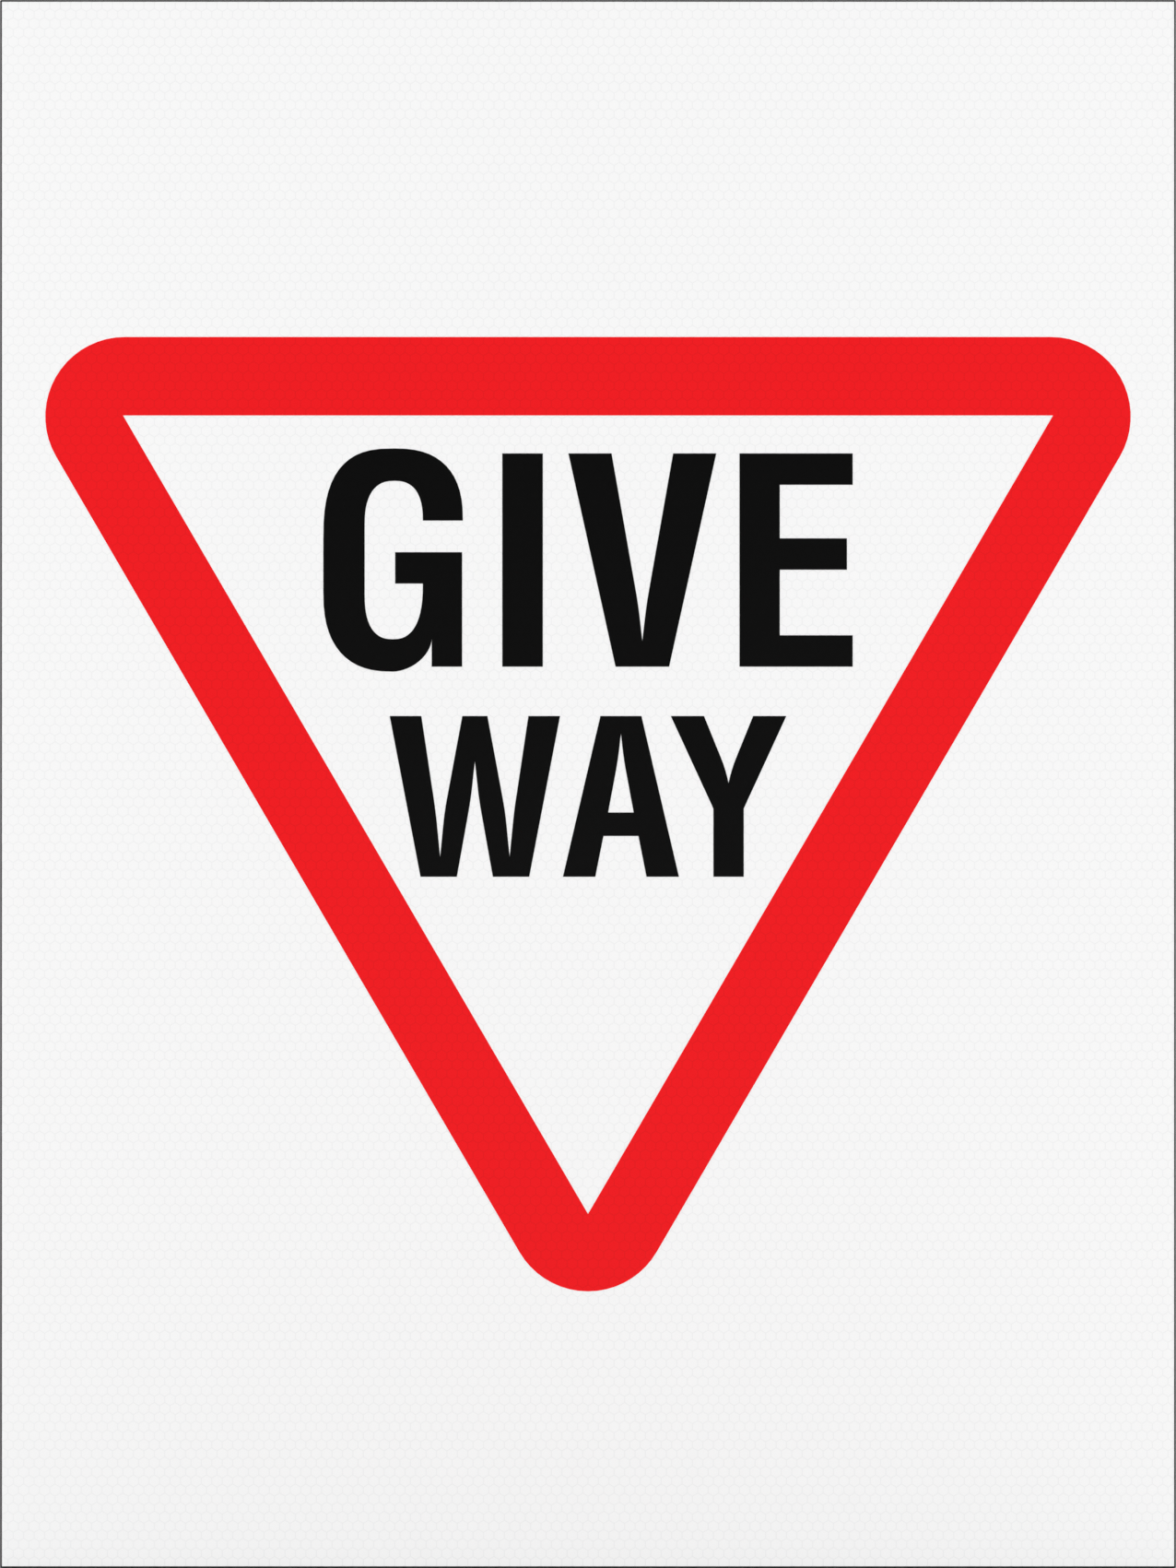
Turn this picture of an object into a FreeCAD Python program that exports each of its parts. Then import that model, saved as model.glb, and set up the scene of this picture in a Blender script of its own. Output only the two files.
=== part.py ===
# A give way sign: a flat aluminium plate faced with white reflective sheeting. A red band in the
# form of a triangle that points down, and a thin black line round the border, lie on the sheeting
# as cut film.
# Sizes are in millimetres and degrees. The origin is the middle of the plate's back face, where
# the sign is fixed. +Z is up and the sign faces -Y, so each layer lies in front of the last, at a
# lower y.

import FreeCAD, Part
import math
import os

# The plate, guillotined from sheet
plate_width = 450.0
plate_height = 600.0
plate_thickness = 1.6
plate_corner_radius = 0.5
plate_back_chamfer = 0.2

# The white sheeting, trimmed flush with the plate
sheeting_thickness = 0.3

# The cut film
film_thickness = 0.1
border_line_width = 0.6

# The white field inside the red band, a triangle that points down. Its corners are sharp.
field_side_margin = 47.0  # from the plate's edge to the field, at either end of the top
field_slope = 59.78  # of the two slanting sides, from the horizontal
field_drop = 11.75  # of the field's middle height below the plate's

# The red band round the field. Its outer corners are arcs, a little larger than it is wide.
band_width = 30.0
band_corner_radius = 30.4

# The planes that the layers share
plate_back = 0.0
plate_front = plate_back - plate_thickness
sheeting_front = plate_front - sheeting_thickness


def polygon(corners):
    """A flat face in the XZ plane, from its corners (x, z) in order."""
    points = [FreeCAD.Vector(x, 0, z) for x, z in corners]
    return Part.Face(Part.makePolygon(points + points[:1]))


def rectangle(width, height):
    """A rectangle about the origin."""
    x = width / 2
    z = height / 2
    return polygon([(-x, -z), (x, -z), (x, z), (-x, z)])


def spread(face, distance):
    """The face grown by a distance all round, or shrunk by a negative one. Corners stay sharp."""
    sharp_joins = 2
    return face.makeOffset2D(distance, sharp_joins)


def rounded(face, radius):
    """The face with its corners rounded. It is shrunk by the radius and grown back, and growing
    back puts an arc of that radius about each corner of the smaller face."""
    arc_joins = 0
    return spread(face, -radius).makeOffset2D(radius, arc_joins)


def ring(outer, inner):
    """What is left of one face when a smaller one is cut out of it."""
    return outer.cut(inner).Faces[0]


def layer(face, back, thickness):
    """The solid that a face makes when it is given a thickness in front of the plane y = back."""
    solid = face.extrude(FreeCAD.Vector(0, -thickness, 0))
    solid.translate(FreeCAD.Vector(0, back, 0))
    return solid


def plate_outline(inset=0.0):
    """The plate's outline, or the line that runs inside it at an even inset."""
    face = rectangle(plate_width - 2 * inset, plate_height - 2 * inset)
    radius = max(plate_corner_radius - inset, 0.0)
    return rounded(face, radius) if radius else face


def white_field():
    """The triangle inside the red band."""
    width = plate_width - 2 * field_side_margin
    depth = width / 2 * math.tan(math.radians(field_slope))
    top = depth / 2 - field_drop
    return polygon([(-width / 2, top), (0, top - depth), (width / 2, top)])


def sign_plate():
    """The aluminium plate, with the burr taken off its back edges. Its front edges stay square
    and carry the sheeting out to the rim."""
    plate = layer(plate_outline(), plate_back, plate_thickness)
    on_back = [e for e in plate.Edges if all(abs(v.Y - plate_back) < 1e-6 for v in e.Vertexes)]
    return plate.makeChamfer(plate_back_chamfer, on_back)


def white_sheeting():
    """The sheeting covers the whole front of the plate."""
    return layer(plate_outline(), plate_front, sheeting_thickness)


def red_band():
    """The triangular band, cut from film in one piece."""
    field = white_field()
    outer = rounded(spread(field, band_width), band_corner_radius)
    return layer(ring(outer, field), sheeting_front, film_thickness)


def border_line():
    """The black line along the rim, cut from film in one piece."""
    line = ring(plate_outline(), plate_outline(border_line_width))
    return layer(line, sheeting_front, film_thickness)


os.makedirs("parts", exist_ok=True)
for piece in (sign_plate, white_sheeting, red_band, border_line):
    shape = piece()
    shape.exportStep(f"parts/{piece.__name__}.step")
    box = shape.BoundBox
    print(
        f"{piece.__name__}: {len(shape.Solids)} solid, valid {shape.isValid()}, "
        f"{box.XLength:.1f} x {box.YLength:.1f} x {box.ZLength:.1f} mm, {shape.Volume:.0f} mm3"
    )
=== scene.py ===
# %% [markdown]
# # A give way sign
#
# The sign is a flat sheet of aluminium, 450 mm wide and 600 mm high, with white reflective
# sheeting over its whole face. On the sheeting lie a red triangular band, a thin black line round
# the rim and seven black letters, all cut from film a tenth of a millimetre thick.
#
# The plate, the sheeting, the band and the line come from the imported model. This script gives
# them their finishes, cuts the letters, and sets up a small studio with a camera square to the
# sign. The sign stands upright and faces -Y. Everything is in metres, unless a comment says that
# it is in millimetres.

import math

import bmesh
import bpy
import numpy as np
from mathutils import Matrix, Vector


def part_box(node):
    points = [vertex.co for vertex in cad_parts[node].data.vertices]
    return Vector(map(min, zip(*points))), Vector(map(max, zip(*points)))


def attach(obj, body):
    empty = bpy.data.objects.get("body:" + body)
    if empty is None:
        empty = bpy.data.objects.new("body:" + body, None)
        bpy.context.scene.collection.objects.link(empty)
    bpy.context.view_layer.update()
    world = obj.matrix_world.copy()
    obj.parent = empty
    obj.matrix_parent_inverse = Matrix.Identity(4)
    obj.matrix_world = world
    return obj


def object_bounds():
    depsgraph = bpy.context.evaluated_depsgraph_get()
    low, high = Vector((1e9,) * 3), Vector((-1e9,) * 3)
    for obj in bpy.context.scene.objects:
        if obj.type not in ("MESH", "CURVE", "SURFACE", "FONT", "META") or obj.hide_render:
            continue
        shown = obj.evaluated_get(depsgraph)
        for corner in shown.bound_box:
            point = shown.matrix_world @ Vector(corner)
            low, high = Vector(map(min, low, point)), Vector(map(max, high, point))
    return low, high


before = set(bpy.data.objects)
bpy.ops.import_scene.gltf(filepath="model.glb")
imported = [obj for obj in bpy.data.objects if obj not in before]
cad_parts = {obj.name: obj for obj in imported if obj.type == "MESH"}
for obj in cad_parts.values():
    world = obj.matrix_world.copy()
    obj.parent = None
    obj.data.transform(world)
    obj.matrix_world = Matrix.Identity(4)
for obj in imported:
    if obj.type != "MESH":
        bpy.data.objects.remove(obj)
cad_low, cad_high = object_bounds()
print("packed pieces:", ", ".join(sorted(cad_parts)))

# %% [markdown]
# ## Places
#
# Every place is read from the model, so nothing has to be fitted by eye. The black letters lie
# on the sheeting beside the red band and are cut from film of the same thickness, so they share
# the band's depth.

# %% The sheet and the film
MM = 0.001
band_low, band_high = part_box("red_band")
film_back = band_high.y
film_thickness = band_high.y - band_low.y
sheet_width = cad_high.x - cad_low.x
sheet_height = cad_high.z - cad_low.z
print(f"sheet {sheet_width / MM:.0f} x {sheet_height / MM:.0f} mm, film {film_thickness / MM:.2f} mm")

# %% [markdown]
# ## The camera
#
# The picture is the sign's face seen square on, edge to edge. A perspective camera on the sign's
# own axis gives that picture, because all that it sees lies in nearly one plane. Its distance
# follows from similar triangles: half the sensor's long side is to the lens as half the sheet's
# height is to the distance from its front. Then the black line round the rim runs along the
# border of the frame.

# %% The camera, square to the face
LENS_MM = 85.0
SENSOR_MM = 36.0

camera_distance = sheet_height * LENS_MM / SENSOR_MM
camera_data = bpy.data.cameras.new("camera")
camera_data.lens = LENS_MM
camera_data.sensor_width = SENSOR_MM
camera = bpy.data.objects.new("camera", camera_data)
camera.location = (0.0, cad_low.y - camera_distance, (cad_low.z + cad_high.z) / 2)
camera.rotation_euler = (math.radians(90.0), 0.0, 0.0)
bpy.context.scene.collection.objects.link(camera)
bpy.context.scene.camera = camera
print(f"camera {camera_distance:.3f} m in front of the face")

# %% [markdown]
# ## Small tools for node trees
#
# A material is a graph of nodes, and these helpers keep a graph short to write. The first adds a
# node, sets its options, and fills or links its inputs: an input is given as a plain value or as
# another node's output. The others do the same for the three kinds of node that are used most,
# and hand back their result.

# %% Helpers that add nodes
def add(tree, kind, inputs=None, **options):
    """Adds a node of that kind, with its options set and its inputs filled or linked."""
    node = tree.nodes.new(kind)
    for name, value in options.items():
        setattr(node, name, value)
    for name, value in (inputs or {}).items():
        if isinstance(value, bpy.types.NodeSocket):
            tree.links.new(value, node.inputs[name])
        else:
            node.inputs[name].default_value = value
    return node


def math_of(tree, operation, *values):
    """The result of a Math node on those values."""
    return add(tree, "ShaderNodeMath", dict(enumerate(values)), operation=operation).outputs[0]


def vector_of(tree, operation, *values):
    """The result of a Vector Math node on those vectors, as a vector."""
    node = add(tree, "ShaderNodeVectorMath", dict(enumerate(values)), operation=operation)
    return node.outputs["Vector"]


def ranged(tree, value, before, after, smooth=False):
    """The value carried from the range before to the range after, and held at its ends."""
    inputs = {
        "Value": value,
        "From Min": before[0],
        "From Max": before[1],
        "To Min": after[0],
        "To Max": after[1],
    }
    kind = "SMOOTHSTEP" if smooth else "LINEAR"
    return add(tree, "ShaderNodeMapRange", inputs, interpolation_type=kind).outputs["Result"]


print("helpers for nodes are ready")

# %% [markdown]
# ## Shader groups
#
# All three films show the same cells under them and lie in the same waves. A node group holds
# such an effect once, and each material places it with its own values. The group's named inputs
# are what a material may set, and its outputs are plain numbers that change over the surface:
# the shader itself stays in each material.

# %% Helpers that make and place groups
def new_group(name, inputs, outputs):
    """An empty group with number sockets. Returns it, what it is given, and where results go."""
    group = bpy.data.node_groups.new(name, "ShaderNodeTree")
    for label, value in inputs.items():
        socket = group.interface.new_socket(label, in_out="INPUT", socket_type="NodeSocketFloat")
        socket.default_value = value
    for label in outputs:
        group.interface.new_socket(label, in_out="OUTPUT", socket_type="NodeSocketFloat")
    given = add(group, "NodeGroupInput").outputs
    result = add(group, "NodeGroupOutput").inputs
    return group, given, result


def placed(tree, group, values):
    """Puts a group into a material with its own values, and returns the group's outputs."""
    return add(tree, "ShaderNodeGroup", values, node_tree=group).outputs


print("helpers for groups are ready")

# %% [markdown]
# ## The cells of the sheeting
#
# Reflective sheeting is a sandwich. Its clear face is sealed to the layer behind along a
# honeycomb of thin walls, and each cell between them holds a pocket of air. By day the cells are
# white and the walls a shade greyer. There are some twenty thousand cells on the sign, so they
# are worked out in the shader and not modelled.
#
# The middles of all the hexagons lie on two rectangular grids, one shifted by half a step from
# the other. Wrapping a point into a grid's step gives its place from that grid's nearest middle.
# A hexagon has its own measure of distance, the larger of |x| and |x| / 2 + |z| root 3 / 2, which
# is half a cell everywhere on its edge. So the smaller of the two grids' measures, taken from
# half a cell, is how far off the nearest wall is. The cells run straight through the sheeting, so
# Y plays no part, and its step only has to be more than nothing.

# %% One grid's measure
ROOT_3 = math.sqrt(3.0)
HALF_STEP = (0.5, 0.5, ROOT_3 / 2)
TO_SLANTED_EDGE = (0.5, 0.0, ROOT_3 / 2)


def hexagon_measure(tree, place):
    """How far a place, in cells, is from the nearest middle of one grid: 0.5 is on the edge."""
    place_in_step = vector_of(tree, "WRAP", place, HALF_STEP, tuple(-half for half in HALF_STEP))
    size = vector_of(tree, "ABSOLUTE", place_in_step)
    straight = add(tree, "ShaderNodeSeparateXYZ", {0: size}).outputs["X"]
    inputs = {0: size, 1: TO_SLANTED_EDGE}
    slanted = add(tree, "ShaderNodeVectorMath", inputs, operation="DOT_PRODUCT").outputs["Value"]
    return math_of(tree, "MAXIMUM", straight, slanted)


print("a grid's step is", tuple(round(2 * half, 3) for half in HALF_STEP), "cells")

# %% [markdown]
# ## The group for the cells
#
# The group measures the place on the sign in cells, asks both grids, and turns the distance off
# the nearest wall into a mask with soft edges. All the films read the same coordinates, so the
# honeycomb runs on unbroken from the sheeting into the film that lies on it.

# %% The group for the cells
CELL = 4.0 * MM
WALL = 0.6 * MM


def make_cell_group():
    """The group gives 1 in the middle of a wall and 0 inside a cell."""
    group, given, result = new_group("sheeting cells", {"Cell": CELL, "Wall": WALL}, ["Wall"])
    place_on = add(group, "ShaderNodeTexCoord").outputs["Object"]
    per_metre = math_of(group, "DIVIDE", 1.0, given["Cell"])
    inputs = {0: place_on, "Scale": per_metre}
    in_cells = add(group, "ShaderNodeVectorMath", inputs, operation="SCALE").outputs["Vector"]
    shifted = vector_of(group, "SUBTRACT", in_cells, HALF_STEP)
    measures = hexagon_measure(group, in_cells), hexagon_measure(group, shifted)
    off_wall = math_of(group, "SUBTRACT", 0.5, math_of(group, "MINIMUM", *measures))
    off_wall = math_of(group, "MULTIPLY", off_wall, given["Cell"])
    half_wall = math_of(group, "MULTIPLY", given["Wall"], 0.5)
    wall = ranged(group, off_wall, (0.0, half_wall), (1.0, 0.0), smooth=True)
    group.links.new(wall, result["Wall"])
    return group


cell_group = make_cell_group()
print(f"made the group {cell_group.name}: cells of {CELL / MM:.1f} mm, walls of {WALL / MM:.1f} mm")

# %% [markdown]
# ## Noise in spots of a real size
#
# Natural unevenness is smooth noise, and its character lies in the size and shape of its spots.
# Dividing the place by a spot's size in each direction counts the place in spots, so that a
# noise of scale 1 has one spot in each unit. Long thin spots make streaks.

# %% Helpers for noise
def in_spots(tree, spot_sizes):
    """The place on a piece, counted in spots of those sizes along X, Y and Z."""
    place_on = add(tree, "ShaderNodeTexCoord").outputs["Object"]
    return vector_of(tree, "DIVIDE", place_on, spot_sizes)


def noise_at(tree, place, detail=1.0):
    """Smooth noise from 0 to 1, with one spot in each unit of the place."""
    inputs = {"Vector": place, "Scale": 1.0, "Detail": detail}
    return add(tree, "ShaderNodeTexNoise", inputs).outputs["Fac"]


print("helpers for noise are ready")

# %% [markdown]
# ## The lie of a film
#
# A film that is laid with a squeegee is never quite flat. Long shallow waves follow the strokes,
# and a fine ripple follows the adhesive. Neither shows from the front, but both bend the light
# that the film throws back when the sign is seen from the side. The group gives a height, and
# each film's Bump node turns that into a tilt of the surface. The wave is given by itself as
# well, because a film shines a little less where it was pressed less.

# %% The group for the waves
WAVE_SIZES = (0.08, 0.08, 0.2)
WAVE_DEPTH = 0.1 * MM
RIPPLE_SIZES = (0.004, 0.004, 0.004)
RIPPLE_DEPTH = 0.0015 * MM


def make_wave_group():
    """Height is the wave noise times its depth plus the ripple noise times its depth."""
    inputs = {"Wave Depth": WAVE_DEPTH, "Ripple Depth": RIPPLE_DEPTH}
    group, given, result = new_group("film waves", inputs, ["Height", "Wave"])
    wave = noise_at(group, in_spots(group, WAVE_SIZES))
    ripple = noise_at(group, in_spots(group, RIPPLE_SIZES))
    wave_height = math_of(group, "MULTIPLY", wave, given["Wave Depth"])
    ripple_height = math_of(group, "MULTIPLY", ripple, given["Ripple Depth"])
    group.links.new(math_of(group, "ADD", wave_height, ripple_height), result["Height"])
    group.links.new(wave, result["Wave"])
    return group


wave_group = make_wave_group()
print(f"made the group {wave_group.name}: waves {WAVE_DEPTH / MM} mm deep")

# %% [markdown]
# ## A new material
#
# Each finish starts as a Principled surface wired to the output. A Mix node has one set of
# sockets for each kind of data that it can mix, and its colour sockets share their names with
# the others, so they are picked by number.

# %% Helpers for materials
MIX_FACTOR, MIX_FIRST_COLOUR, MIX_SECOND_COLOUR, MIX_COLOUR_RESULT = 0, 6, 7, 2


def mixed(tree, factor, first, second):
    """The colour between two others, by a factor from 0 to 1."""
    inputs = {MIX_FACTOR: factor, MIX_FIRST_COLOUR: first, MIX_SECOND_COLOUR: second}
    return add(tree, "ShaderNodeMix", inputs, data_type="RGBA").outputs[MIX_COLOUR_RESULT]


def new_material(name):
    """A new material with a Principled surface. Returns the material, its tree and the surface."""
    material = bpy.data.materials.new(name)
    material.use_nodes = True
    tree = material.node_tree
    tree.nodes.clear()
    surface = add(tree, "ShaderNodeBsdfPrincipled")
    add(tree, "ShaderNodeOutputMaterial", {"Surface": surface.outputs["BSDF"]})
    return material, tree, surface


print("helpers for materials are ready")

# %% [markdown]
# ## A film
#
# White sheeting, red film and black film differ in colour and in how much of the honeycomb
# shows. Otherwise they are one smooth plastic, so one function makes all three. It mixes the
# colour by the mask of the walls, sinks the walls a few thousandths of a millimetre, and lets the
# shine vary with the wave.

# %% The material of a film
SHINE_CHANGE = 0.07


def make_film(name, cell_colour, wall_colour, roughness, gloss, wall_depth, ripple_depth):
    """Height is the film's own waves, less the wall mask times the depth of a wall."""
    material, tree, surface = new_material(name)
    wall = placed(tree, cell_group, {"Cell": CELL, "Wall": WALL})["Wall"]
    waves = placed(tree, wave_group, {"Wave Depth": WAVE_DEPTH, "Ripple Depth": ripple_depth})
    sunk = math_of(tree, "MULTIPLY", wall, wall_depth)
    height = math_of(tree, "SUBTRACT", waves["Height"], sunk)
    bump = add(tree, "ShaderNodeBump", {"Height": height, "Distance": 1.0})
    shine_range = roughness - SHINE_CHANGE, roughness + SHINE_CHANGE
    shine = ranged(tree, waves["Wave"], (0.0, 1.0), shine_range)
    tree.links.new(mixed(tree, wall, cell_colour, wall_colour), surface.inputs["Base Color"])
    tree.links.new(shine, surface.inputs["Roughness"])
    tree.links.new(bump.outputs["Normal"], surface.inputs["Normal"])
    surface.inputs["Specular IOR Level"].default_value = gloss
    return material


print("a film's shine varies by", SHINE_CHANGE, "either way")

# %% [markdown]
# ## The three films
#
# The white sheeting shows all of its honeycomb. The red film is translucent and shows it as
# deeper red, and the black hides its colour and takes up only its relief. A cut film is a third
# as thick as the sheeting, so it follows the ripple of its adhesive more closely, and evens out
# the walls below. The reflection is kept low, as on a sign with a matt laminate, because a strong
# one would veil the black.

# %% The materials of the films
SHEETING_WALL_DEPTH = 0.003 * MM
CUT_FILM_WALL_DEPTH = 0.0015 * MM
CUT_FILM_RIPPLE_DEPTH = 1.4 * RIPPLE_DEPTH

white_sheeting = make_film(
    "white sheeting",
    cell_colour=(0.93, 0.93, 0.93, 1.0),
    wall_colour=(0.86, 0.863, 0.866, 1.0),
    roughness=0.38,
    gloss=0.25,
    wall_depth=SHEETING_WALL_DEPTH,
    ripple_depth=RIPPLE_DEPTH,
)
red_film = make_film(
    "red film",
    cell_colour=(0.865, 0.0050, 0.0090, 1.0),
    wall_colour=(0.79, 0.0042, 0.0076, 1.0),
    roughness=0.37,
    gloss=0.15,
    wall_depth=CUT_FILM_WALL_DEPTH,
    ripple_depth=CUT_FILM_RIPPLE_DEPTH,
)
black_film = make_film(
    "black film",
    cell_colour=(0.0020, 0.0020, 0.0020, 1.0),
    wall_colour=(0.0016, 0.0016, 0.0016, 1.0),
    roughness=0.40,
    gloss=0.12,
    wall_depth=CUT_FILM_WALL_DEPTH,
    ripple_depth=CUT_FILM_RIPPLE_DEPTH,
)
print("made", ", ".join(film.name for film in (white_sheeting, red_film, black_film)))

# %% [markdown]
# ## Marks that run with the rolling
#
# The back of the sign is mill aluminium, just as it leaves the rolls. Rolling draws every mark
# out along the sheet, so its grain is noise whose spots are hairlines, about a millimetre across
# and a hundred times as long.
#
# Noise is worked out on a lattice, so hairlines side by side would all fade at the same heights,
# in rows across the sheet. Here each is shifted along from its neighbour by the golden section of
# its own length. Multiples of that shift spread out more evenly than those of any other, so no
# rows form.

# %% Noise drawn out into hairlines
GOLDEN_SECTION = 0.618
GRAIN_SIZES = (0.0012, 0.0012, 0.13)
BAND_SIZES = (0.04, 0.04, 1.2)


def staggered(tree, spot_sizes):
    """The place in spots, with Z shifted by the golden section from each spot to the next in X."""
    place = in_spots(tree, spot_sizes)
    across = add(tree, "ShaderNodeSeparateXYZ", {0: place}).outputs["X"]
    along = math_of(tree, "MULTIPLY", across, GOLDEN_SECTION)
    shift = add(tree, "ShaderNodeCombineXYZ", {"Z": along}).outputs["Vector"]
    return vector_of(tree, "ADD", place, shift)


print(f"hairlines {GRAIN_SIZES[0] / MM:.1f} mm across and {GRAIN_SIZES[2] / MM:.0f} mm long")

# %% [markdown]
# ## The sheared rim
#
# The rim is where the sheet was sheared. The blade first cuts cleanly and leaves a bright smooth
# band by the front, and then the metal tears and leaves a dull grained one by the back. The
# surface's own direction tells the rim from the faces, and the depth tells cut from tear.

# %% A mask for the torn metal
CLEAN_CUT_SHARE = 0.35
SOFT_EDGE = 0.1 * MM
RIM_BELOW = 0.8

plate_low, plate_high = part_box("sign_plate")
clean_cut_end = plate_low.y + CLEAN_CUT_SHARE * (plate_high.y - plate_low.y)


def torn_mask(tree):
    """1 on the rim behind the clean cut, and 0 elsewhere."""
    coordinates = add(tree, "ShaderNodeTexCoord").outputs
    facing = add(tree, "ShaderNodeSeparateXYZ", {0: coordinates["Normal"]}).outputs["Y"]
    depth = add(tree, "ShaderNodeSeparateXYZ", {0: coordinates["Object"]}).outputs["Y"]
    rim = math_of(tree, "LESS_THAN", math_of(tree, "ABSOLUTE", facing), RIM_BELOW)
    tear_starts = clean_cut_end - SOFT_EDGE, clean_cut_end + SOFT_EDGE
    behind_cut = ranged(tree, depth, tear_starts, (0.0, 1.0), smooth=True)
    return math_of(tree, "MULTIPLY", rim, behind_cut)


print(f"the clean cut is {(clean_cut_end - plate_low.y) / MM:.2f} mm of the plate's thickness")

# %% [markdown]
# ## Bare aluminium
#
# One grain sets the metal's tone, its shine and a very shallow relief, as one mark does on real
# metal, and broader bands vary the shine across the sheet. Where the metal is torn it is darker
# and duller, with a relief of its own.

# %% The material of the plate
LIGHT_METAL = (0.78, 0.786, 0.792, 1.0)
DARK_METAL = (0.62, 0.626, 0.632, 1.0)
TORN_METAL = (0.50, 0.505, 0.51, 1.0)
TONE_RANGE = (0.25, 0.75)
FINE_SHINE = (-0.06, 0.06)
BROAD_SHINE = (0.34, 0.50)
TORN_DULLER = 0.22
GRAIN_DEPTH = 0.0015 * MM
TEAR_SIZES = (0.0003, 0.0015, 0.0003)
TEAR_DEPTH = 0.1 * MM


def make_aluminium():
    """Height is the grain noise times its depth plus, on torn metal, the tear noise times its."""
    material, tree, surface = new_material("bare aluminium")
    grain = noise_at(tree, staggered(tree, GRAIN_SIZES), detail=3.0)
    band = noise_at(tree, staggered(tree, BAND_SIZES))
    tear = noise_at(tree, in_spots(tree, TEAR_SIZES), detail=2.0)
    torn = torn_mask(tree)

    tone = mixed(tree, ranged(tree, grain, TONE_RANGE, (0.0, 1.0)), DARK_METAL, LIGHT_METAL)
    tone = mixed(tree, torn, tone, TORN_METAL)
    fine_shine = ranged(tree, grain, (0.0, 1.0), FINE_SHINE)
    broad_shine = ranged(tree, band, (0.0, 1.0), BROAD_SHINE)
    shine = math_of(tree, "ADD", fine_shine, broad_shine)
    shine = math_of(tree, "ADD", shine, math_of(tree, "MULTIPLY", torn, TORN_DULLER))
    grain_height = math_of(tree, "MULTIPLY", grain, GRAIN_DEPTH)
    tear_height = math_of(tree, "MULTIPLY", math_of(tree, "MULTIPLY", tear, torn), TEAR_DEPTH)
    height = math_of(tree, "ADD", grain_height, tear_height)
    bump = add(tree, "ShaderNodeBump", {"Height": height, "Distance": 1.0})

    tree.links.new(tone, surface.inputs["Base Color"])
    tree.links.new(shine, surface.inputs["Roughness"])
    tree.links.new(bump.outputs["Normal"], surface.inputs["Normal"])
    surface.inputs["Metallic"].default_value = 1.0
    return material


bare_aluminium = make_aluminium()
print("made", bare_aluminium.name)

# %% [markdown]
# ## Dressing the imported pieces
#
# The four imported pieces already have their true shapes, so each keeps its mesh and only gets its
# finish.

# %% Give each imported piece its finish
FINISHES = {
    "sign_plate": bare_aluminium,
    "white_sheeting": white_sheeting,
    "red_band": red_film,
    "border_line": black_film,
}
for node, material in FINISHES.items():
    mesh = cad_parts[node].data
    mesh.materials.clear()
    mesh.materials.append(material)
    print(node, "has", material.name)

# %% [markdown]
# ## Flat shapes from pairs of edges
#
# A plotter cuts each letter out of black film, so a letter is a flat outline with a thickness.
# A text object could make one, but only in the shapes of some font. Here plain block strokes are
# drawn from sizes in millimetres that were measured in the picture, in a letter's own plane: x
# from its left side and z from the line that it stands on.
#
# A stroke is a ruled surface. Two edges with as many points each are joined by straight rungs:
# point (i, t) is (1 - t) times the first edge's point i plus t times the second's. The film is
# flat, so t = 0 and t = 1 are all that a stroke needs. A letter that is the same on both sides is
# drawn as a left half and its mirror image.

# %% Ruled strokes and mirror images
def ruled(first_edge, second_edge):
    """The flat stroke between two edges: its points, and the four-sided faces that join them."""
    points = np.vstack((first_edge, second_edge)).astype(float)
    count = len(first_edge)
    i = np.arange(count - 1)
    return points, np.column_stack((i, i + 1, count + i + 1, count + i))


def with_mirror(shapes, middle):
    """The shapes and their mirror images about the upright line x = middle."""
    images = [(points * (-1, 1) + (2 * middle, 0), faces) for points, faces in shapes]
    return shapes + images


square_points, square_faces = ruled([(0, 0), (0, 9)], [(9, 0), (9, 9)])
print("a square has", len(square_points), "points and", len(square_faces), "face")

# %% [markdown]
# ## From shapes to a flat mesh
#
# The strokes of a letter share the points where they meet. Merging those points makes one
# outline, and a rung with both ends on one point closes up, so its face becomes a triangle. A
# mirror image has its faces turned over, so all of them are turned to the front afterwards.

# %% Join a letter's shapes
MERGE_WITHIN = 0.02 * MM


def flat_mesh(name, shapes, left, baseline):
    """The shapes, in mm, as one mesh on the sheeting, with its left side and foot at a place."""
    starts = np.cumsum([0] + [len(points) for points, faces in shapes[:-1]])
    flat = np.vstack([points for points, faces in shapes])
    faces = np.vstack([faces + start for (points, faces), start in zip(shapes, starts)])
    x, z = ((flat + (left, baseline)) * MM).T
    mesh = bpy.data.meshes.new(name)
    mesh.from_pydata(np.column_stack((x, np.full_like(x, film_back), z)), [], faces.tolist())

    work = bmesh.new()
    work.from_mesh(mesh)
    bmesh.ops.remove_doubles(work, verts=work.verts, dist=MERGE_WITHIN)
    bmesh.ops.recalc_face_normals(work, faces=work.faces)
    work.faces.ensure_lookup_table()
    if work.faces[0].normal.y > 0:
        bmesh.ops.reverse_faces(work, faces=work.faces)
    work.to_mesh(mesh)
    work.free()
    return mesh


print("letters will lie on the plane y =", round(film_back / MM, 3), "mm")

# %% [markdown]
# ## A piece of cut film
#
# Solidify gives the flat mesh its thickness. It grows towards the reader, so the back stays on
# the sheeting. The letter rides on the one body that the sign has, and takes its finish from the
# black film.

# %% Cut a letter
TOWARDS_THE_FRONT = 1.0


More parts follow.
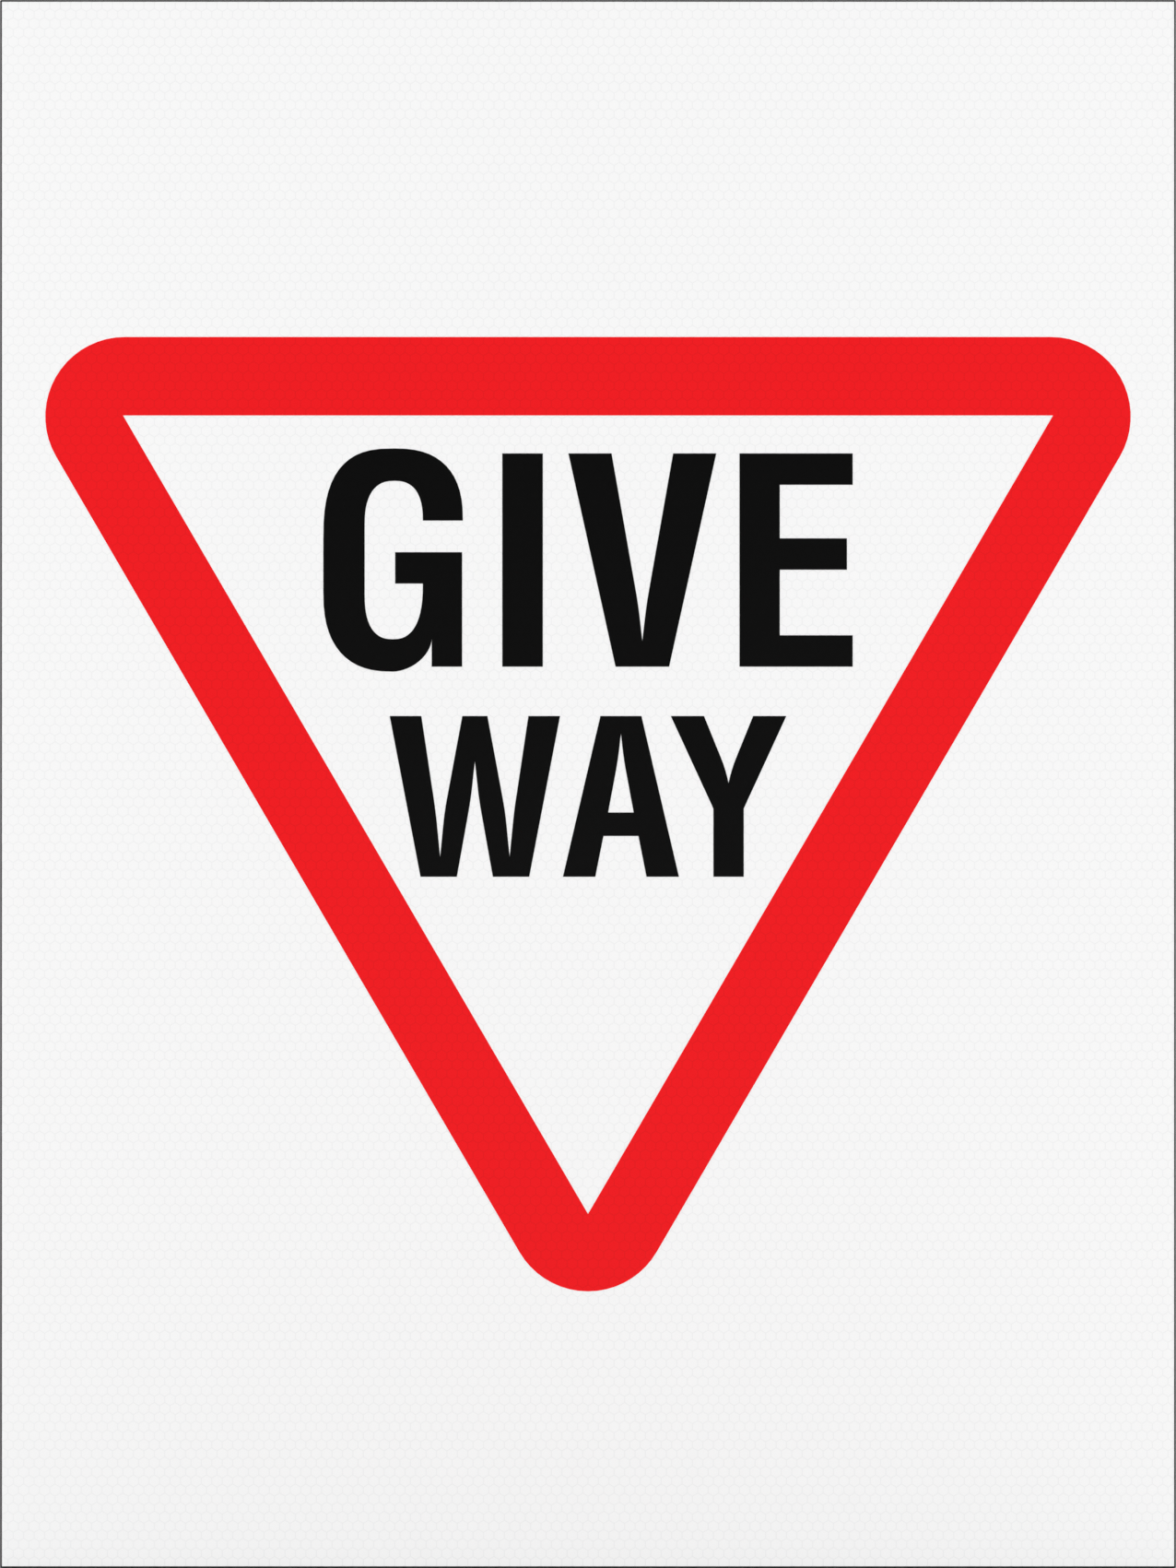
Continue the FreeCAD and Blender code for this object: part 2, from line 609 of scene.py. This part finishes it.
def cut_letter(name, shapes, left, baseline):
    """One piece of black film from flat shapes in mm, with its left side and foot at a place."""
    mesh = flat_mesh(name, shapes, left, baseline)
    mesh.materials.append(black_film)
    letter = bpy.data.objects.new(name, mesh)
    bpy.context.scene.collection.objects.link(letter)
    film = letter.modifiers.new("film", "SOLIDIFY")
    film.thickness = film_thickness
    film.offset = TOWARDS_THE_FRONT
    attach(letter, "root")
    width, depth, height = (size / MM for size in letter.dimensions)
    print(f"{name}: {width:.1f} x {height:.1f} mm, {len(mesh.polygons)} faces")


print(f"film is cut {film_thickness / MM:.1f} mm thick")

# %% [markdown]
# ## The two lines
#
# The upper line has four letters and the lower line three, smaller to fit the narrowing
# triangle. Both lines are centred on the sign, so each letter's left side is measured from the
# middle.

# %% The heights of the lines, in mm
UPPER_HEIGHT = 81.6
UPPER_BASELINE = 44.9
LOWER_HEIGHT = 61.5
LOWER_BASELINE = -35.5
print("tops of the lines:", UPPER_BASELINE + UPPER_HEIGHT, "and", LOWER_BASELINE + LOWER_HEIGHT, "mm")

# %% [markdown]
# ## Square letters
#
# Two of the letters have only upright and level edges. Each is a lattice: a few upright and
# level lines, and a true or false for each cell between them that says whether it is film. The
# cells share their corners from the start.

# %% Cells of a lattice
def lattice(columns, rows, filled):
    """The filled cells between upright lines at the columns and level lines at the rows."""
    x, z = np.meshgrid(columns, rows)
    row, column = np.nonzero(filled)
    corner = row * len(columns) + column
    above = corner + len(columns)
    cells = np.column_stack((corner, corner + 1, above + 1, above))
    used, faces = np.unique(cells, return_inverse=True)
    points = np.column_stack((x.ravel(), z.ravel())).astype(float)[used]
    return points, faces.reshape(cells.shape)


pair_points, pair_faces = lattice([0, 1, 2], [0, 1], [[True, True]])
print("two cells side by side have", len(pair_points), "points and", len(pair_faces), "faces")

# %% [markdown]
# ## A stem, and a stem with arms
#
# The first letter is a single cell. The other has five rows of three cells, and each row is a
# long arm, a short arm or no arm.

# %% The letters on a lattice
def letter_i(height, stem=15.5):
    """A single upright stem."""
    return [lattice([0, stem], [0, height], [[True]])]


def letter_e(height, width=43.3, stem=15.4, arm=12.0, short_by=2.2, middle_arm=37.1):
    """A stem with three arms, of which the middle one is a little shorter."""
    columns = [0, stem, width - short_by, width]
    rows = [0, arm, middle_arm, middle_arm + arm, height - arm, height]
    long_arm = [True, True, True]
    short_arm = [True, True, False]
    no_arm = [True, False, False]
    return [lattice(columns, rows, [long_arm, no_arm, short_arm, no_arm, long_arm])]


cut_letter("letter_i", letter_i(UPPER_HEIGHT), left=-32.8, baseline=UPPER_BASELINE)
cut_letter("letter_e", letter_e(UPPER_HEIGHT), left=58.0, baseline=UPPER_BASELINE)

# %% [markdown]
# ## Notches
#
# Where two slanted strokes meet, their full widths together would look like a blot, so the
# strokes of block letters thin towards the meeting point. Each side of such a notch runs straight
# from its mouth to a knee, bends a little, and runs straight again to the apex. The bend is a
# parabola: (1 - t) squared times its start, plus 2 t (1 - t) times the knee, plus t squared times
# its end.

# %% One side of a notch
BEND_REACH = 5.0
BEND_POINTS = 5


def notch_side(mouth, knee, apex):
    """The edge from a notch's mouth to its apex, straight but for a short bend at the knee."""
    mouth, knee, apex = np.array((mouth, knee, apex), float)
    start = knee + BEND_REACH * (mouth - knee) / np.linalg.norm(mouth - knee)
    end = knee + BEND_REACH * (apex - knee) / np.linalg.norm(apex - knee)
    t = np.linspace(0, 1, BEND_POINTS)[:, None]
    bend = (1 - t) ** 2 * start + 2 * t * (1 - t) * knee + t**2 * end
    return np.vstack((mouth, bend, apex))


print("a notch's side has", len(notch_side((0, 40), (4, 10), (5, 0))), "points")

# %% [markdown]
# ## The letter with one notch
#
# Two legs lean together onto a flat foot. Half of it is one ruled leg, and below the notch a
# triangle that reaches the middle. The knee is given as its way out from the middle and up from
# the foot.

# %% Two legs on a foot
def letter_v(height, width=56.6, arm=16.5, foot=20.5, apex=9.8, knee=(1.6, 23.8)):
    """Each half has a leg and half of the foot."""
    middle = width / 2
    heel = (middle - foot / 2, 0)
    inner = notch_side((arm, height), (middle - knee[0], knee[1]), (middle, apex))
    outer = np.linspace((0, height), heel, len(inner))
    leg = ruled(outer, inner)
    half_foot = ruled([heel, (middle, 0)], [(middle, apex), (middle, apex)])
    return with_mirror([leg, half_foot], middle)


cut_letter("letter_v", letter_v(UPPER_HEIGHT), left=-7.5, baseline=UPPER_BASELINE)

# %% [markdown]
# ## The letter with three notches
#
# This letter has a notch from above in each half and one from below in the middle. Half of it is
# an outer leg, a foot, an inner leg between the two notches, and half of the middle peak.

# %% Four legs and a peak
def letter_w(height, width=65.2, arm=12.1, heel=11.8, toe=25.7, peak=27.8):
    """Each half has two legs, a foot and half of the peak."""
    middle = width / 2
    low_apex = (19.3, 7.5)
    low_knees = (17.6, 24.9), (21.0, 24.9)
    high_apex = (middle, 44.3)
    high_knee = (middle - 1.6, 29.5)
    outer_leg = notch_side((arm, height), low_knees[0], low_apex)
    outer_edge = np.linspace((0, height), (heel, 0), len(outer_leg))
    from_above = notch_side((peak, height), low_knees[1], low_apex)
    from_below = notch_side((toe, 0), high_knee, high_apex)
    half = [
        ruled(outer_edge, outer_leg),
        ruled([(heel, 0), (toe, 0)], [low_apex, low_apex]),
        ruled(from_above[::-1], from_below),
        ruled([(peak, height), (middle, height)], [high_apex, high_apex]),
    ]
    return with_mirror(half, middle)


cut_letter("letter_w", letter_w(LOWER_HEIGHT), left=-75.9, baseline=LOWER_BASELINE)

# %% [markdown]
# ## The letter with a crossbar
#
# Two legs lean together under a flat top, and a bar joins them. The inner edge of a leg follows
# the notch below the bar, the bar's end, and then the closed counter above it, so that the bar
# can share two of its points.

# %% Two legs and a crossbar
def letter_a(height, width=44.4, top=15.7, foot=12.4, bar=(15.6, 24.6), bar_ends=(15.5, 17.3)):
    """Each half has a leg, half of the crossbar and half of the flat top."""
    middle = width / 2
    knee, apex = (middle - 1.1, 44.9), (middle, 54.9)
    counter = notch_side((bar_ends[1], bar[1]), knee, apex)
    inner = np.vstack(((foot, 0), (bar_ends[0], bar[0]), counter))
    lean = (middle - top / 2) / height
    outer = np.column_stack((lean * inner[:, 1], inner[:, 1]))
    half = [
        ruled(outer, inner),
        ruled(inner[1:3], [(middle, bar[0]), (middle, bar[1])]),
        ruled([outer[-1], (middle - top / 2, height)], [apex, (middle, height)]),
    ]
    return with_mirror(half, middle)


cut_letter("letter_a", letter_a(LOWER_HEIGHT), left=-9.6, baseline=LOWER_BASELINE)

# %% [markdown]
# ## The letter with two arms
#
# Two arms lean out from a short stem. Half of it is one ruled arm, a triangle in the crotch, and
# half of the stem.

# %% Two arms on a stem
def letter_y(height, width=44.2, arm=12.7, stem=11.6, shoulder=26.1, crotch=35.8, knee=(1.0, 40.8)):
    """Each half has an arm, half of the crotch and half of the stem."""
    middle = width / 2
    stem_side = middle - stem / 2
    inner = notch_side((arm, height), (middle - knee[0], knee[1]), (middle, crotch))
    outer = np.linspace((0, height), (stem_side, shoulder), len(inner))
    half = [
        ruled(outer, inner),
        ruled([(stem_side, shoulder), (middle, shoulder)], [(middle, crotch), (middle, crotch)]),
        ruled([(stem_side, 0), (stem_side, shoulder)], [(middle, 0), (middle, shoulder)]),
    ]
    return with_mirror(half, middle)


cut_letter("letter_y", letter_y(LOWER_HEIGHT), left=31.7, baseline=LOWER_BASELINE)

# %% [markdown]
# ## Round corners
#
# The curves of the last letter are quarters of a superellipse, which is an ellipse pushed out
# towards its corners, as the bowls of narrow block letters are. A quarter runs from a point where
# it is upright to one where it is level, so its centre has the z of the first and the x of the
# second. It goes from the centre by cos(t) times the first reach across and by sin(t) times the
# second reach up, each of the two to the power 2 / n. With n = 2 it is an ellipse.

# %% A quarter of a superellipse
SQUARENESS = 2.5
QUARTER_POINTS = 15


def quarter(upright, level, n=SQUARENESS):
    """The curve from a point where it is upright to one where it is level."""
    t = np.linspace(0, math.pi / 2, QUARTER_POINTS)
    across = np.cos(t).clip(0) ** (2 / n)
    up = np.sin(t).clip(0) ** (2 / n)
    x = level[0] + (upright[0] - level[0]) * across
    z = upright[1] + (level[1] - upright[1]) * up
    return np.column_stack((x, z))


halfway = quarter((1, 0), (0, 1))[QUARTER_POINTS // 2]
print(f"halfway along, a quarter is {halfway[0]:.2f} of the way out to its corner")

# %% [markdown]
# ## The round letter
#
# The last letter is a bowl that ends in an upright stem with a bar. The bowl is one ruled stroke
# between an outer and an inner edge of four quarters each, and down its left side both edges run
# straight from a shoulder to a hip. The stem and the bar are added where the bowl ends.

# %% A bowl, a stem and a bar
def letter_g(height, width=53.4, stroke=15.8, throat=38.1, overshoot=1.9, thin=12.4):
    """A bowl from its upper end round to the stem, then the stem and the bar."""
    top, bottom = (27.2, height + overshoot), (26.6, -overshoot)
    inner_top, inner_bottom = (top[0], top[1] - thin), (bottom[0], bottom[1] + thin)
    outer_shoulder, outer_hip = 47.8, 28.9
    inner_shoulder, inner_hip = 54.0, 27.8
    shoulder_squareness, heel_squareness = 2.75, 1.8
    upper_end, lower_end = 55.9, 10.8
    stem_left, stem_right = 41.5, 53.1
    bar_left, bar_low, bar_high = 27.5, 31.8, 43.8
    outer = np.vstack((
        quarter((width, upper_end), top),
        quarter((0, outer_shoulder), top, shoulder_squareness)[::-1],
        quarter((0, outer_hip), bottom),
        quarter((stem_left, lower_end), bottom, heel_squareness)[::-1],
    ))
    inner = np.vstack((
        quarter((throat, upper_end), inner_top),
        quarter((stroke, inner_shoulder), inner_top)[::-1],
        quarter((stroke, inner_hip), inner_bottom),
        quarter((throat, bar_low), inner_bottom)[::-1],
    ))
    stem_outer = np.array([inner[-1], outer[-1], (stem_left, 0)])
    stem_inner = stem_outer * (0, 1) + (stem_right, 0)
    bar = lattice([bar_left, throat, stem_right], [bar_low, bar_high], [[True, True]])
    return [ruled(outer, inner), ruled(stem_outer, stem_inner), bar]


cut_letter("letter_g", letter_g(UPPER_HEIGHT), left=-101.3, baseline=UPPER_BASELINE)

# %% [markdown]
# ## The studio
#
# The world lights the sign evenly from everywhere, and what the camera sees of it is plain
# white. What shiny surfaces reflect of it is a white backdrop of limited width, as in a real
# studio: it is full straight behind the sign and fades at its sides to a dim room, which is all
# that lies on the reader's side. So the black film stays black, and the bare metal of the back
# shows a gradient.

# %% The world
WORLD_LIGHT = 0.80
BACKDROP_LIGHT = 1.0
DIM_ROOM = 0.10
ROOM_TO_BACKDROP = (-0.2, 1.0)
OFF, ON = 0.0, 1.0

world = bpy.data.worlds.new("studio")
bpy.context.scene.world = world
world.use_nodes = True
tree = world.node_tree
tree.nodes.clear()
ray = add(tree, "ShaderNodeLightPath").outputs
direction = add(tree, "ShaderNodeTexCoord").outputs["Generated"]
to_back = add(tree, "ShaderNodeSeparateXYZ", {0: direction}).outputs["Y"]
mirrored = ranged(tree, to_back, ROOM_TO_BACKDROP, (DIM_ROOM, BACKDROP_LIGHT), smooth=True)
strength = ranged(tree, ray["Is Glossy Ray"], (OFF, ON), (WORLD_LIGHT, mirrored))
seen = math_of(tree, "MAXIMUM", ray["Is Camera Ray"], ray["Is Transmission Ray"])
strength = ranged(tree, seen, (OFF, ON), (strength, BACKDROP_LIGHT))
light = add(tree, "ShaderNodeBackground", {"Color": (1.0, 1.0, 1.0, 1.0), "Strength": strength})
add(tree, "ShaderNodeOutputWorld", {"Surface": light.outputs["Background"]})
bpy.context.scene.view_settings.view_transform = "Standard"
print("made the world", world.name)

# %% [markdown]
# ## The soft boxes
#
# Two tall soft boxes add a little shape from well off to the sides, where the flat face can't
# mirror them into the lens. A third hangs overhead for the floor and the upper edge, and a fourth
# stands behind for the bare metal. An area lamp shines along its own -Z, so each is turned to
# look at the middle of the sign. Wide boxes give soft shadows, because each point of the floor
# loses sight of them bit by bit.

# %% Four area lamps
def soft_box(name, place_at, width, height, power):
    """A soft rectangular lamp that points at the middle of the sign."""
    data = bpy.data.lights.new(name, "AREA")
    data.shape = "RECTANGLE"
    data.size = width
    data.size_y = height
    data.energy = power
    lamp = bpy.data.objects.new(name, data)
    lamp.location = place_at
    lamp.rotation_euler = (-lamp.location).to_track_quat("-Z", "Y").to_euler()
    bpy.context.scene.collection.objects.link(lamp)
    print(f"{name}: {power:.1f} W, {width:.1f} x {height:.1f} m")


soft_box("left box", (-1.6, -0.95, 0.1), width=0.8, height=1.4, power=8.4)
soft_box("right box", (1.6, -0.95, 0.1), width=0.8, height=1.4, power=8.4)
soft_box("top box", (0.0, 0.0, 1.9), width=1.6, height=1.6, power=8.0)
soft_box("back box", (1.3, 1.3, 0.7), width=0.9, height=0.9, power=4.0)

# %% [markdown]
# ## The paint of the floor
#
# The floor is pale and plain. Away from the sign it fades to plain white for the camera, so that
# it has no edge or horizon. The fade is a mask on the distance from the sign's foot, and only
# camera rays see it: all other light meets the same pale paint everywhere.

# %% The material of the floor
FLOOR_PAINT = (0.80, 0.80, 0.80, 1.0)
FADE_RANGE = (0.45, 1.6)


def make_floor_paint():
    """Pale paint, which a camera ray sees as white by the mask of the distance."""
    material = bpy.data.materials.new("floor paint")
    material.use_nodes = True
    tree = material.node_tree
    tree.nodes.clear()
    place_on = add(tree, "ShaderNodeTexCoord").outputs["Object"]
    along_floor = vector_of(tree, "MULTIPLY", place_on, (1.0, 1.0, 0.0))
    away = add(tree, "ShaderNodeVectorMath", {0: along_floor}, operation="LENGTH").outputs["Value"]
    faded = ranged(tree, away, FADE_RANGE, (0.0, 1.0), smooth=True)
    to_camera = add(tree, "ShaderNodeLightPath").outputs["Is Camera Ray"]
    paint = add(tree, "ShaderNodeBsdfDiffuse", {"Color": FLOOR_PAINT})
    white = add(tree, "ShaderNodeEmission", {"Color": (1.0, 1.0, 1.0, 1.0), "Strength": 1.0})
    inputs = {
        0: math_of(tree, "MULTIPLY", faded, to_camera),
        1: paint.outputs["BSDF"],
        2: white.outputs["Emission"],
    }
    shown = add(tree, "ShaderNodeMixShader", inputs)
    add(tree, "ShaderNodeOutputMaterial", {"Surface": shown.outputs["Shader"]})
    return material


floor_paint = make_floor_paint()
print("made", floor_paint.name)

# %% [markdown]
# ## The floor
#
# One wide square lies a hair below the sign's lower edge and catches its shadow. It isn't part of
# the sign.

# %% The floor
FLOOR_HALF_SIZE = 6.0
FLOOR_GAP = 0.2 * MM

floor_z = cad_low.z - FLOOR_GAP
corners = FLOOR_HALF_SIZE * np.array([(-1, -1), (1, -1), (1, 1), (-1, 1)], float)
level = np.full((len(corners), 1), floor_z)
floor_mesh = bpy.data.meshes.new("floor")
floor_mesh.from_pydata(np.hstack((corners, level)), [], [(0, 1, 2, 3)])
floor_mesh.materials.append(floor_paint)
floor = bpy.data.objects.new("floor", floor_mesh)
bpy.context.scene.collection.objects.link(floor)
print("floor at z =", round(floor_z / MM, 1), "mm")
